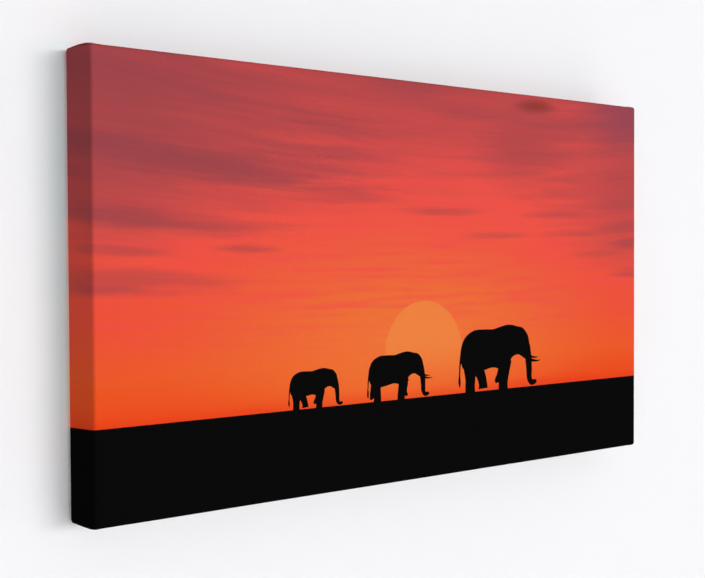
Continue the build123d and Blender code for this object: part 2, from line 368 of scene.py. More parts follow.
def folded_point(corner, x, lift, depth, line, side):
    """A point of the top or bottom side, or of its flap where line is given."""
    if line is None:
        lift += relief(x, FRONT + depth, corner * HALF_H)
        return rounded(x, FRONT + depth, corner * HALF_H, lift), (x, corner * (HALF_H + depth))
    inward = cut_edge(side, x, line)
    lift += pucker(side, x, inward)
    place = rounded(x, BACK, corner * (HALF_H - inward), lift)
    return place, (x, corner * (HALF_H + DEPTH + line))


def fold_end(corner, sign, depth, line, side):
    """One end of one row of a folded side, from the hidden hem towards the middle."""
    def raised(aside):
        """Height of the cloth over the layers under it."""
        layers = ear_layers(aside, depth) if line is None else flap_layers(aside)
        return puff(sign, corner, aside, depth) + layers

    folded = smooth(depth / FOLD_RUN_IN)
    fold = FRONT_RADIUS + (FOLD_INSET - FRONT_RADIUS) * folded + (line or 0.0)
    radius = THICKNESS * smooth(depth / HEM_START)
    places = []
    for tuck, turn in HEM:
        angle = math.radians(turn * folded)
        run = tuck * smooth((depth - HEM_START) / HEM_RUN_IN)
        aside = fold + radius * (1 - math.sin(angle)) + run
        places.append((aside, raised(fold) - radius * (1 - math.cos(angle))))
    for step in NEAR:
        share = (step - FRONT_RADIUS) / (CORNER_ZONE - FRONT_RADIUS)
        aside = (fold + radius) * (1 - share) + CORNER_ZONE * share
        places.append((aside, raised(aside)))
    return [
        folded_point(corner, sign * (HALF_W - aside), lift, depth, line, side)
        for aside, lift in places
    ]


def face_point(x, z):
    """A point of the picture face."""
    return rounded(x, FRONT, z, relief(x, FRONT, z)), (x, z)


def face_bands(cloth):
    """The rounded border of the picture face."""
    outward = Vector((0, -1, 0))
    for sign in (-1, 1):
        rows = [[face_point(sign * (HALF_W - step), z) for step in EDGE] for z in Z_LINES]
        cloth.grid(rows, outward, print_at)
        rows = [[face_point(x, sign * (HALF_H - step)) for x in FACE_X] for step in EDGE]
        cloth.grid(rows, outward, print_at)


# ---------------- The silhouettes of the picture ----------------

# An elephant walking to the right, one unit high, its feet at zero. Outlines run anticlockwise.
TORSO = [
    (0.14, 0.34), (0.32, 0.28), (0.52, 0.30), (0.75, 0.34), (0.95, 0.30), (1.08, 0.35),
    (1.17, 0.47), (1.29, 0.51), (1.38, 0.48), (1.47, 0.44), (1.58, 0.53), (1.56, 0.66),
    (1.52, 0.80), (1.41, 0.915), (1.28, 0.945), (1.17, 0.97), (1.05, 0.975), (0.91, 0.95),
    (0.76, 0.92), (0.57, 0.925), (0.35, 0.915), (0.165, 0.815), (0.08, 0.65), (0.075, 0.48),
]
# Limbs are (x, y, half width) stations.
TRUNK = [(1.48, 0.64, 0.090), (1.53, 0.46, 0.074), (1.55, 0.28, 0.064), (1.555, 0.14, 0.056),
         (1.60, 0.065, 0.046), (1.67, 0.065, 0.040), (1.715, 0.085, 0.022)]
TAIL = [(0.105, 0.62, 0.030), (0.065, 0.44, 0.017), (0.052, 0.27, 0.014), (0.050, 0.16, 0.024),
        (0.056, 0.08, 0.006)]
TUSKS = [
    [(1.49, 0.495, 0.030), (1.60, 0.46, 0.020), (1.69, 0.445, 0.011), (1.75, 0.45, 0.003)],
    [(1.51, 0.435, 0.032), (1.64, 0.40, 0.021), (1.74, 0.39, 0.012), (1.81, 0.40, 0.003)],
]
STRIDING_LEGS = [
    [(0.26, 0.44, 0.150), (0.275, 0.24, 0.112), (0.27, 0.10, 0.098), (0.27, -0.04, 0.106)],
    [(0.40, 0.40, 0.110), (0.49, 0.25, 0.096), (0.535, 0.13, 0.088), (0.545, 0.035, 0.096)],
    [(1.02, 0.44, 0.140), (0.995, 0.24, 0.108), (0.975, 0.10, 0.098), (0.975, -0.04, 0.106)],
    [(0.95, 0.34, 0.075), (0.90, 0.21, 0.065), (0.84, 0.145, 0.050), (0.80, 0.115, 0.020)],
]
STANDING_LEGS = [
    [(0.25, 0.44, 0.150), (0.28, 0.24, 0.112), (0.30, 0.10, 0.096), (0.30, -0.04, 0.104)],
    [(0.22, 0.34, 0.090), (0.18, 0.20, 0.072), (0.15, 0.10, 0.054), (0.10, 0.07, 0.022)],
    [(1.02, 0.44, 0.140), (0.97, 0.24, 0.108), (0.94, 0.10, 0.098), (0.94, -0.04, 0.104)],
    [(1.05, 0.34, 0.085), (1.03, 0.20, 0.072), (1.06, 0.11, 0.054), (1.12, 0.08, 0.022)],
]

# The tail's place across the face and the height, as fractions of the face, then legs and tusks
HERD = [
    (0.2775, 0.0950, STRIDING_LEGS, False),
    (0.4112, 0.1210, STANDING_LEGS, True),
    (0.5850, 0.1755, STRIDING_LEGS, True),
]
SPLINE_STEPS = 5  # from one given point to the next
CUT_EXACTNESS = 1e-7


def spline(points, closed):
    """Points on a Catmull-Rom curve through the given ones."""
    points = [Vector(point) for point in points]
    count = len(points)
    spans = count if closed else count - 1

    def at(number):
        return points[number % count] if closed else points[clamp(number, 0, count - 1)]

    curve = []
    for span in range(spans):
        before, start, end, after = (at(span + offset) for offset in (-1, 0, 1, 2))
        for step in range(SPLINE_STEPS):
            t = step / SPLINE_STEPS
            curve.append(0.5 * (
                2 * start
                + (end - before) * t
                + (2 * before - 5 * start + 4 * end - after) * t ** 2
                + (3 * start - before - 3 * end + after) * t ** 3
            ))
    return curve if closed else curve + [points[-1]]


def limb(stations):
    """The outline of a tapering limb along (x, y, half width) stations."""
    line = spline(stations, False)
    near, far = [], []
    for number, station in enumerate(line):
        ahead = line[min(number + 1, len(line) - 1)] - line[max(number - 1, 0)]
        across_line = Vector((-ahead.y, ahead.x)).normalized() * station.z
        near.append(station.xy - across_line)
        far.append(station.xy + across_line)
    return near + far[::-1]


def herd_outlines():
    """Closed outlines of the whole herd, on the picture face."""
    outlines = []
    for left, height, legs, tusks in HERD:
        parts = [spline(TORSO, True)] + [limb(part) for part in [TRUNK, TAIL, *legs]]
        if tusks:
            parts += [limb(tusk) for tusk in TUSKS]
        scale = height * 2 * HALF_H
        start = Vector(((left - 0.5) * 2 * HALF_W, HORIZON))
        outlines += [[start + point * scale for point in part] for part in parts]
    return outlines


def picture_face(cloth):
    """The flat of the picture face, cut along the horizon and the silhouettes."""
    left, right, low, high = FACE_X[0], FACE_X[-1], FACE_Z[0], FACE_Z[-1]
    border = [(x, low) for x in FACE_X[:-1]] + [(right, z) for z in FACE_Z[:-1]]
    border += [(x, high) for x in FACE_X[:0:-1]] + [(left, z) for z in FACE_Z[:0:-1]]
    points = [Vector(point) for point in border]
    edges = [(number, (number + 1) % len(points)) for number in range(len(points))]
    edges.append((points.index(Vector((left, HORIZON))), points.index(Vector((right, HORIZON)))))
    loops = []
    for outline in herd_outlines():
        loops.append(list(range(len(points), len(points) + len(outline))))
        points += outline
    # Loose points inside the border keep the triangles even
    points += [Vector((x, z)) for x in FACE_X[6:-6:2] for z in FACE_Z[6:-6:2]]
    cut = geometry.delaunay_2d_cdt(points, edges, loops, 0, CUT_EXACTNESS)
    places, _, triangles, _, _, marks = cut
    for triangle, inside in zip(triangles, marks):
        corners = [face_point(*places[number]) for number in reversed(triangle)]
        middle_z = sum(corner[1][1] for corner in corners) / 3
        first, second, third = (corner[0] for corner in corners)
        if (second - first).cross(third - first).y > 0:
            corners.reverse()
        cloth.face(corners, INK if inside or middle_z < HORIZON else SKY)


# ---------------- Materials ----------------


def colour(code):
    """A linear colour from an sRGB hex code."""
    values = [int(code[start:start + 2], 16) / 255 for start in (1, 3, 5)]
    return [v / 12.92 if v < 0.04045 else ((v + 0.055) / 1.055) ** 2.4 for v in values] + [1.0]


class Nodes:
    """A new material and short ways to add nodes to it."""

    def __init__(self, name):
        self.material = bpy.data.materials.new(name)
        self.material.use_nodes = True
        self.tree = self.material.node_tree
        self.shader = self.tree.nodes["Principled BSDF"]

    def add(self, kind, **settings):
        node = self.tree.nodes.new(kind)
        for key, value in settings.items():
            setattr(node, key, value)
        return node

    def put(self, socket, value):
        """Links an output to a socket, or sets the socket to a number, a colour or a colour's code."""
        if isinstance(value, bpy.types.NodeSocket):
            self.tree.links.new(value, socket)
        elif isinstance(value, str):
            socket.default_value = colour(value)
        elif value is not None:
            socket.default_value = value

    def filled(self, kind, **sockets):
        """The first output of a new node, whose named sockets are linked or set."""
        node = self.add(kind)
        for name, value in sockets.items():
            self.put(node.inputs[name], value)
        return node.outputs[0]

    def math(self, operation, first, second=None, third=None):
        node = self.add("ShaderNodeMath", operation=operation)
        for socket, value in zip(node.inputs, (first, second, third)):
            self.put(socket, value)
        return node.outputs[0]

    def times(self, first, second):
        return self.math("MULTIPLY", first, second)

    def plus(self, first, second):
        return self.math("ADD", first, second)

    def ease(self, value, start, end, low=0.0, high=1.0):
        """value mapped smoothly from start..end to low..high."""
        node = self.add("ShaderNodeMapRange", interpolation_type="SMOOTHSTEP")
        for socket, given in zip(node.inputs, (value, start, end, low, high)):
            self.put(socket, given)
        return node.outputs[0]

    def mix(self, share, first, second, blend="MIX"):
        node = self.add("ShaderNodeMix", data_type="RGBA", blend_type=blend)
        self.put(node.inputs[0], share)
        self.put(node.inputs[6], first)
        self.put(node.inputs[7], second)
        return node.outputs[2]

    def noise(self, vector, scale, detail=3.0, roughness=0.5, distortion=0.0):
        return self.filled("ShaderNodeTexNoise", Vector=vector, Scale=scale, Detail=detail,
                           Roughness=roughness, Distortion=distortion)

    def stretched(self, vector, scale, turn=(0, 0, 0), shift=(0, 0, 0)):
        return self.filled("ShaderNodeMapping", Vector=vector, Location=shift, Rotation=turn, Scale=scale)

    def drawn_noise(self, vector, scale, detail=3.0, roughness=0.5, distortion=0.0, **placing):
        """Noise with its own scale along each axis."""
        return self.noise(self.stretched(vector, scale, **placing), 1.0, detail, roughness, distortion)

    def ramp(self, value, stops):
        """A colour ramp through (place, code) stops."""
        node = self.add("ShaderNodeValToRGB")
        self.put(node.inputs[0], value)
        band = node.color_ramp.elements
        while len(band) < len(stops):
            band.new(0.5)
        for element, (place, code) in zip(band, stops):
            element.position = place
            element.color = colour(code)
        return node.outputs[0]

    def place(self):
        """Coordinates in the row frame."""
        return self.add("ShaderNodeTexCoord").outputs["Object"]

    def joined(self, x, y, z=0.0):
        """A vector from three values."""
        return self.filled("ShaderNodeCombineXYZ", X=x, Y=y, Z=z)

    def scaled(self, vector, factors, shift):
        """A vector multiplied and then shifted, axis by axis."""
        node = self.add("ShaderNodeVectorMath", operation="MULTIPLY_ADD")
        for socket, value in zip(node.inputs, (vector, factors, shift)):
            self.put(socket, value)
        return node.outputs[0]

    def split(self, vector):
        """The x, y and z outputs of a vector."""
        node = self.add("ShaderNodeSeparateXYZ")
        self.put(node.inputs[0], vector)
        return node.outputs

    def bump(self, height, distance, strength):
        return self.filled("ShaderNodeBump", Strength=strength, Distance=distance, Height=height)

    def surface(self, output):
        """Makes a shader the material's surface."""
        self.put(self.tree.nodes["Material Output"].inputs["Surface"], output)

    def finish(self, base, roughness, normal=None, specular=0.5, metallic=0.0):
        """Feeds the shader and returns the material."""
        self.put(self.shader.inputs["Base Color"], base)
        self.put(self.shader.inputs["Roughness"], roughness)
        self.put(self.shader.inputs["Normal"], normal)
        self.shader.inputs["Specular IOR Level"].default_value = specular
        self.shader.inputs["Metallic"].default_value = metallic
        return self.material


WEAVE_PITCH = 0.8 * MM
WEAVE_WANDER = 2.1 * WEAVE_PITCH
PRINT_WEAVE_DEPTH = 0.10 * MM

# Colours of the clear sky and their heights, as fractions of the face from its lower edge
SKY_BAND = [
    (0.205, "#ea3f17"), (0.225, "#eb4b1b"), (0.26, "#ec521f"), (0.31, "#ec5828"), (0.40, "#ec5234"),
    (0.50, "#ed513c"), (0.60, "#ed5342"), (0.75, "#ed5347"), (1.00, "#e8514a"),
]

# The glow round the low sun: centre and half size, as fractions of the face
GLOW_CENTRE = (0.50, 0.36)
GLOW_SIZE = (0.50, 0.34)

# Haze, streaks and a smudge: centre across and down the face, half length, half height, weight
HAZE = [
    (0.40, -0.12, 0.95, 0.42, 0.80), (-0.04, 0.12, 0.42, 0.26, 1.00), (1.04, 0.20, 0.28, 0.27, 0.70),
    (0.02, 0.31, 0.15, 0.12, 0.30), (0.735, 0.15, 0.130, 0.14, 0.46), (1.00, 0.00, 0.18, 0.14, 0.90),
    (0.02, 0.02, 0.22, 0.11, 0.40),
]
STREAKS = [
    (0.13, 0.225, 0.31, 0.050, 0.85), (0.36, 0.290, 0.13, 0.022, 0.38), (0.56, 0.325, 0.10, 0.015, 0.35),
    (0.09, 0.366, 0.22, 0.028, 0.62), (0.215, 0.420, 0.06, 0.012, 0.45), (0.03, 0.425, 0.10, 0.013, 0.28),
    (0.04, 0.485, 0.19, 0.032, 0.45), (-0.01, 0.507, 0.11, 0.018, 0.48), (0.37, 0.122, 0.13, 0.040, 0.30),
    (0.50, 0.010, 0.11, 0.040, 0.35), (0.36, 0.190, 0.16, 0.020, 0.25), (0.755, 0.030, 0.06, 0.020, 0.50),
    (0.95, 0.285, 0.09, 0.022, 0.20), (0.81, 0.322, 0.09, 0.015, 0.30), (0.97, 0.352, 0.09, 0.020, 0.30),
    (0.67, 0.382, 0.09, 0.014, 0.30), (0.84, 0.375, 0.09, 0.013, 0.20), (0.99, 0.400, 0.06, 0.018, 0.45),
    (0.90, 0.432, 0.06, 0.010, 0.15), (0.98, 0.490, 0.07, 0.018, 0.35), (0.45, 0.560, 0.05, 0.006, 0.08),
    (0.83, 0.075, 0.12, 0.035, 0.30), (0.60, 0.072, 0.08, 0.025, 0.28),
]
SMUDGE = (0.755, 0.030, 0.055, 0.024, 0.75)
HAZE_FRAYING = 0.6
STREAK_FRAYING = 1.6

# The lines of cloud are curved: lowest in the middle, and rising with the square of the way from it
CURVE_MIDDLE = 0.55
CURVE_RANGE = (0.50, 0.85)  # heights between which the curve gets stronger
CURVE = (0.05, 0.18)  # below and above them


def weave_height(nodes, flat):
    """A plain weave: threads that pass over and under each other, a little uneven."""
    wander = nodes.noise(flat, 60.0, 2.0)
    across_x, across_z, _ = nodes.split(flat)
    waves = []
    for value, most in ((across_x, WEAVE_WANDER), (across_z, -WEAVE_WANDER)):
        shifted = nodes.math("MULTIPLY_ADD", wander, most, value)
        waves.append(nodes.math("SINE", nodes.times(shifted, math.pi / WEAVE_PITCH)))
    return nodes.times(waves[0], waves[1])


def cloth_normal(nodes, flat, depth):
    """The bump of the weave, with thicker threads here and there."""
    slub_x = nodes.drawn_noise(flat, (30, 1200, 1), 2.0)
    slub_z = nodes.drawn_noise(flat, (1200, 30, 1), 2.0)
    slubs = nodes.plus(slub_x, slub_z)
    height = nodes.math("MULTIPLY_ADD", slubs, 0.9, weave_height(nodes, flat))
    return nodes.bump(height, depth, 0.6)


def print_coordinates(nodes):
    """Flat coordinates of the unfolded cloth, in metres from the middle of the face."""
    return nodes.add("ShaderNodeUVMap", uv_map="print").outputs[0]


def face_fractions(nodes, flat):
    """Flat coordinates as fractions of the face, from its lower left corner."""
    return nodes.scaled(flat, (0.5 / HALF_W, 0.5 / HALF_H, 0.0), (0.5, 0.5, 0.0))


def distance_from(nodes, vector, centre, size):
    """Distance from a centre, in half sizes of an ellipse."""
    factors = (1 / size[0], 1 / size[1], 0.0)
    shift = (-centre[0] / size[0], -centre[1] / size[1], 0.0)
    length = nodes.add("ShaderNodeVectorMath", operation="LENGTH")
    nodes.put(length.inputs[0], nodes.scaled(vector, factors, shift))
    return length.outputs["Value"]


def curve_rise(across, upward):
    """How far a line of cloud has risen at a place; cloud_flow works out the same with nodes."""
    start, end = CURVE_RANGE
    low, high = CURVE
    curve = low + (high - low) * smooth((upward - start) / (end - start))
    return curve * (across - CURVE_MIDDLE) ** 2


def patch_distance(nodes, flow, across, down, length, height):
    """Distance from the centre of a patch of cloud, in its half sizes."""
    upward = 1 - down
    centre = (across, upward - curve_rise(across, upward))
    return distance_from(nodes, flow, centre, (length, height))


def cloud_flow(nodes, face):
    """Face fractions bent along the lines of cloud."""
    across, upward, _ = nodes.split(face)
    from_middle = nodes.math("SUBTRACT", across, CURVE_MIDDLE)
    square = nodes.times(from_middle, from_middle)
    rise = nodes.times(nodes.ease(upward, *CURVE_RANGE, *CURVE), square)
    return nodes.joined(across, nodes.math("SUBTRACT", upward, rise))


def cloud_cover(nodes, flow):
    """How much cloud there is: haze and the listed streaks, frayed by noise drawn out along the flow."""
    fray = nodes.drawn_noise(flow, (3.6, 26, 1), 6.0, 0.6, 0.3)
    cover = 0.0
    for patches, ragged in ((HAZE, HAZE_FRAYING), (STREAKS, STREAK_FRAYING)):
        edge = nodes.math("MULTIPLY_ADD", fray, ragged, -0.5 * ragged)
        for *patch, weight in patches:
            away = nodes.plus(patch_distance(nodes, flow, *patch), edge)
            cover = nodes.plus(nodes.ease(away, 0.10, 1.15, weight, 0.0), cover)
    threads = nodes.drawn_noise(flow, (5, 110, 1), 5.0, 0.6)
    cover = nodes.times(cover, nodes.ease(threads, 0.25, 0.75, 0.88, 1.08))
    return nodes.math("SUBTRACT", 1.0, nodes.math("EXPONENT", nodes.times(cover, -1.5)))


def clear_sky(nodes, face, flow):
    """The sky's gradient, a glow round the low sun, and thin warm streaks in its upper part."""
    upward = nodes.split(face)[1]
    drift = nodes.drawn_noise(flow, (3, 16, 1), 3.0)
    height = nodes.plus(upward, nodes.math("MULTIPLY_ADD", drift, 0.05, -0.025))
    sky = nodes.ramp(height, SKY_BAND)
    glow = nodes.ease(distance_from(nodes, face, GLOW_CENTRE, GLOW_SIZE), 0.0, 1.0, 0.85, 0.0)
    glow = nodes.times(glow, nodes.ease(upward, 0.205, 0.245, 0.35, 1.0))
    sky = nodes.mix(glow, sky, "#ee7836")
    streaks = nodes.drawn_noise(flow, (6, 60, 1), 5.0, 0.6)
    warm = nodes.times(nodes.ease(streaks, 0.43, 0.66, 0.0, 0.6), nodes.ease(upward, 0.28, 0.48))
    return nodes.mix(warm, sky, "#f04c48")


def with_cloud(nodes, sky, face, flow):
    """The sky under its cloud, which is bluer in the upper right corner, and one brown smudge."""
    corner = nodes.ease(distance_from(nodes, face, (1.0, 1.0), (0.2, 0.2)), 0.2, 1.0, 0.7, 0.0)
    cloud = nodes.mix(corner, "#94434a", "#7c4458")
    sky = nodes.mix(cloud_cover(nodes, flow), sky, cloud)
    *patch, weight = SMUDGE
    smudge = nodes.ease(patch_distance(nodes, flow, *patch), 0.1, 1.0, weight, 0.0)
    return nodes.mix(smudge, sky, "#8f362a")


def with_sun(nodes, sky, flat):
    """The sky with the disc of the sun, which fades into haze at its foot."""
    away = distance_from(nodes, flat, SUN_CENTRE, (SUN_RADIUS, SUN_RADIUS))
    disc = nodes.ease(away, 0.985, 1.015, 1.0, 0.0)
    foot = SUN_CENTRE[1] - 0.6 * SUN_RADIUS
    clear = SUN_CENTRE[1] + 0.3 * SUN_RADIUS
    fade = nodes.ease(nodes.split(flat)[1], foot, clear, 0.0, 0.85)
    return nodes.mix(nodes.times(disc, fade), sky, "#ee8440")


def sky_material():
    """The printed sky with its streaked cloud and low sun."""
    nodes = Nodes("printed_sky")
    flat = print_coordinates(nodes)
    face = face_fractions(nodes, flat)
    flow = cloud_flow(nodes, face)
    sky = with_cloud(nodes, clear_sky(nodes, face, flow), face, flow)
    sky = with_sun(nodes, sky, flat)
    grain = nodes.ease(nodes.noise(flat, 2600.0, 2.0), 0.3, 0.7, 0.975, 1.02)
    sky = nodes.mix(1.0, sky, grain, "MULTIPLY")
    rough = nodes.ease(nodes.noise(flat, 25.0), 0.3, 0.7, 0.62, 0.72)
    return nodes.finish(sky, rough, cloth_normal(nodes, flat, PRINT_WEAVE_DEPTH), specular=0.03)


def ink_material():
    """The printed ground and silhouettes: matt, nearly black ink, a little uneven."""
    nodes = Nodes("printed_black")
    flat = print_coordinates(nodes)
    thick = nodes.ease(nodes.noise(flat, 900.0, 3.0), 0.35, 0.7)
    tint = nodes.mix(thick, "#090909", "#0d0d0d")
    rough = nodes.ease(nodes.noise(flat, 18.0), 0.3, 0.7, 0.68, 0.78)
    return nodes.finish(tint, rough, cloth_normal(nodes, flat, PRINT_WEAVE_DEPTH), specular=0.0)


def plain_cloth_material(name, light, dark, depth):
    """Unprinted cloth: woven threads with painted shade in the gaps between them, and a few flecks."""
    nodes = Nodes(name)
    flat = print_coordinates(nodes)
    # Painted shade: the colour turns dark where the weave dips into the gaps between threads
    weave = nodes.ease(weave_height(nodes, flat), -1.0, 1.0)
    tint = nodes.mix(weave, dark, light)
    flecks = nodes.ease(nodes.drawn_noise(flat, (700, 240, 1), 2.0), 0.70, 0.80, 0.0, 0.5)
    tint = nodes.mix(flecks, tint, "#b7a88c")
    blotch = nodes.ease(nodes.noise(flat, 12.0, 3.0), 0.3, 0.75, 0.94, 1.02)
    tint = nodes.mix(1.0, tint, blotch, "MULTIPLY")
    return nodes.finish(tint, 0.92, cloth_normal(nodes, flat, depth), specular=0.15)


# A knot's colours, each laid over the one before: inner and outer edge of its fade, share, colour
KNOT_RINGS = [
    (0.070, 0.160, 0.75, "#8a5426"),
    (0.065, 0.085, 1.00, "#5d3519"),
    (0.010, 0.055, 0.80, "#7d4c27"),
]


def wood_material(name, grain, light, dark, ring_pitch, heart):
    """Sawn softwood with its grain along one row axis; heart is the log's centre across the grain."""
    nodes = Nodes(name)
    along, inward, across = nodes.split(nodes.place())
    if grain == "z":
        along, across = across, along
    lie = nodes.joined(along, across, inward)
    # Rings round the heart, which wanders, pushed aside by the knots
    drift = nodes.drawn_noise(lie, (5, 22, 22), 3.0)
    squares = []
    for value, centre, wander in ((across, heart[0], 14 * MM), (inward, heart[1], 8 * MM)):
        moved = nodes.math("MULTIPLY_ADD", drift, wander, -centre - wander / 2)
        away = nodes.plus(value, moved)
        squares.append(nodes.times(away, away))
    ring = nodes.math("SQRT", nodes.plus(*squares))
    from_knot = knot_distance(nodes, lie)
    ring = nodes.plus(ring, nodes.ease(from_knot, 0.0, 0.40, 2.6 * ring_pitch, 0.0))
    ring = nodes.math("FRACT", nodes.math("DIVIDE", ring, ring_pitch))
    # Late wood darkens slowly through a ring and ends at once
    late = nodes.times(nodes.ease(ring, 0.35, 0.88), nodes.ease(ring, 0.90, 1.0, 1.0, 0.0))
    tint = nodes.mix(nodes.times(late, 0.75), light, dark)
    fibre = nodes.drawn_noise(lie, (18, 1400, 1400), 3.0, 0.6)
    tint = nodes.mix(1.0, tint, nodes.ease(fibre, 0.3, 0.7, 0.86, 1.06), "MULTIPLY")
    broad = nodes.drawn_noise(lie, (7, 60, 60), 2.0, shift=(0.3, 0.1, 0.2))
    tint = nodes.mix(nodes.ease(broad, 0.35, 0.7, 0.0, 0.35), tint, dark)
    for inner, outer, share, code in KNOT_RINGS:
        tint = nodes.mix(nodes.ease(from_knot, inner, outer, share, 0.0), tint, code)
    height = nodes.math("MULTIPLY_ADD", late, -0.5, fibre)
    rough = nodes.ease(fibre, 0.25, 0.75, 0.52, 0.70)
    return nodes.finish(tint, rough, nodes.bump(height, 0.08 * MM, 0.7), specular=0.3)


def knot_distance(nodes, lie):
    """Distance to the nearest knot, in the units of KNOT_RINGS."""
    wobble = nodes.drawn_noise(lie, (90, 260, 260), 2.0)
    cells = nodes.stretched(lie, (9, 26, 26), shift=(0.13, 0.4, 0.7))
    distance = nodes.filled("ShaderNodeTexVoronoi", Vector=cells, Scale=1.0, Randomness=1.0)
    return nodes.math("MULTIPLY_ADD", wobble, 0.03, nodes.plus(distance, -0.015))


def metal_material(name, tint, dull, roughness, scratch):
    """Plated steel: even metal with dull patches and fine rubbed lines."""
    nodes = Nodes(name)
    place = nodes.place()
    patches = nodes.ease(nodes.noise(place, 420.0, 4.0, 0.6), 0.35, 0.7)
    lines = nodes.drawn_noise(place, (400, 3000, 9000), 2.0, turn=(0.3, 0.5, 0.2))
    shade = nodes.mix(nodes.times(patches, 0.6), tint, dull)
    rough = nodes.plus(nodes.ease(patches, 0.0, 1.0, roughness, roughness + 0.16),
                       nodes.ease(lines, 0.45, 0.75, 0.0, scratch))
    return nodes.finish(shade, rough, nodes.bump(lines, 0.01 * MM, 0.5), metallic=1.0)


def rubber_material():
    """Soft moulded rubber with a fine skin and a little dust."""
    nodes = Nodes("bumper_rubber_skin")
    place = nodes.place()
    dust = nodes.ease(nodes.noise(place, 260.0, 5.0, 0.65), 0.5, 0.75, 0.0, 0.45)
    tint = nodes.mix(dust, "#2b2b2c", "#55524e")
    skin = nodes.noise(place, 5200.0, 3.0)
    rough = nodes.ease(dust, 0.0, 0.45, 0.55, 0.85)
    return nodes.finish(tint, rough, nodes.bump(skin, 0.03 * MM, 0.7), specular=0.35)


def dress(names, material):
    """Gives CAD nodes a material."""
    for name in names:
        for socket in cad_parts[name].material_slots:
            socket.material = material


# The centre of the log that each bar was sawn from, across the bar and in depth
PINE_HEARTS = {
    "top": (0.235, 0.030),
    "bottom": (-0.245, 0.045),
    "left": (-0.225, 0.060),
    "right": (0.380, 0.020),
}
PINE_RINGS = 3.4 * MM
KEY_HEART = (0.1, 0.2)
KEY_RINGS = 1.3 * MM


def dress_wood():
    """Pine bars with their grain along them, and hardwood keys with their grain across their bar."""
    keys = [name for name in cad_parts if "_key_" in name]
    for side, heart in PINE_HEARTS.items():
        grain = "z" if side in UPRIGHT else "x"
        pine = wood_material(f"{side}_pine", grain, "#e3c597", "#b98a55", PINE_RINGS, heart)
        dress([f"{side}_bar"], pine)
    for grain, upright in (("z", False), ("x", True)):
        hardwood = wood_material(f"key_wood_{grain}", grain, "#c99a66", "#98673a", KEY_RINGS, KEY_HEART)
        dress([name for name in keys if (name.split("_")[0] in UPRIGHT) == upright], hardwood)


def dress_hardware():
    """Materials for the hangers, staples and bumpers."""
    nickel = metal_material("nickel_plate", "#c9c4ba", "#a39d92", 0.20, 0.18)
    zinc = metal_material("yellow_zinc", "#c8b27c", "#9c8659", 0.28, 0.20)
    wire = metal_material("galvanised_wire", "#cdced0", "#9a9b9e", 0.26, 0.20)
    rubber = rubber_material()
    for side in UPRIGHT:
        dress([f"{side}_hanger_strap", f"{side}_hanger_ring"], nickel)
        dress([f"{side}_hanger_screw"], zinc)
        dress([f"{side}_wall_bumper"], rubber)
    dress([f"{side}_staples" for side in SIDES], wire)


# ---------------- Pieces ----------------


def object_from(name, data):
    """A new object in the scene, from a mesh, a light or a camera."""
    piece = bpy.data.objects.new(name, data)
    bpy.context.scene.collection.objects.link(piece)
    return piece


def thicken(piece):
    """Gives the cloth its thickness for good; the inside and the cut edges take the raw slots."""
    solid = piece.modifiers.new("thickness", "SOLIDIFY")
    solid.thickness = THICKNESS
    solid.offset = -1
    solid.use_even_offset = False
    solid.material_offset = RAW
    solid.material_offset_rim = RAW
    graph = bpy.context.evaluated_depsgraph_get()
    mesh = bpy.data.meshes.new_from_object(piece.evaluated_get(graph))
    piece.modifiers.clear()
    piece.data = mesh
    mesh.set_sharp_from_angle(angle=math.radians(SHARP_ANGLE))


def fray(piece):
    """Loose threads along the hand-cut edges of the four flaps."""
    pick = random.Random(THREAD_SEED)
    mesh = bmesh.new()
    mesh.from_mesh(piece.data)
    flat = mesh.loops.layers.uv["print"]
    for _ in range(THREADS):
        side = pick.choice(SIDES)
        upright = side in UPRIGHT
        sign = 1 if side in ("top", "right") else -1
        half = HALF_H if upright else HALF_W
        along = pick.uniform(EAR + THREAD_MARGIN - half, half - EAR - THREAD_MARGIN)
        inward = cut_edge(side, along, FLAP) - THREAD_START
        lift = pucker(side, along, FLAP) - THICKNESS * pick.uniform(0.2, 0.8)
        lean = pick.gauss(0, 0.5)
        reach = pick.uniform(2.0, 5.0) * MM
        curl = pick.uniform(-1.0, 1.0) * MM
        start = (HALF_W if upright else HALF_H) - inward
        path = []
        for step in range(THREAD_POINTS):
            share = step / (THREAD_POINTS - 1)
            shift = along + lean * reach * share + curl * share ** 2
            resting = 0.5 * THREAD_WIDTH - THICKNESS * share
            rise = BACK + max(lift + THREAD_RISE * math.sin(share * 3), resting)
            reached = sign * (start - reach * share)
            path.append(Vector((reached, rise, shift) if upright else (shift, rise, reached)))
        thread(mesh, flat, path, (along, inward))
    mesh.to_mesh(piece.data)
    mesh.free()


def thread(mesh, flat, path, place):
    """A thin tube along a path, tapering to half its width at its free end."""
    rings = []
    for number, point in enumerate(path):
        ahead = (path[min(number + 1, len(path) - 1)] - path[max(number - 1, 0)]).normalized()
        aside = ahead.cross(Vector((0, 1, 0))).normalized()
        above = aside.cross(ahead)
        radius = THREAD_WIDTH / 2 * (1 - 0.5 * number / (len(path) - 1))
        turns = [math.tau * corner / THREAD_SIDES for corner in range(THREAD_SIDES)]
        rings.append([
            mesh.verts.new(point + (aside * math.cos(turn) + above * math.sin(turn)) * radius)
            for turn in turns
        ])
    faces = [rings[0][::-1], rings[-1]]
    for near, far in zip(rings, rings[1:]):
        for first in range(THREAD_SIDES):
            second = (first + 1) % THREAD_SIDES
            faces.append([near[first], near[second], far[second], far[first]])
    for corners in faces:
        face = mesh.faces.new(corners)
        face.material_index = RAW
        face.smooth = True
        for loop in face.loops:
            loop[flat].uv = place


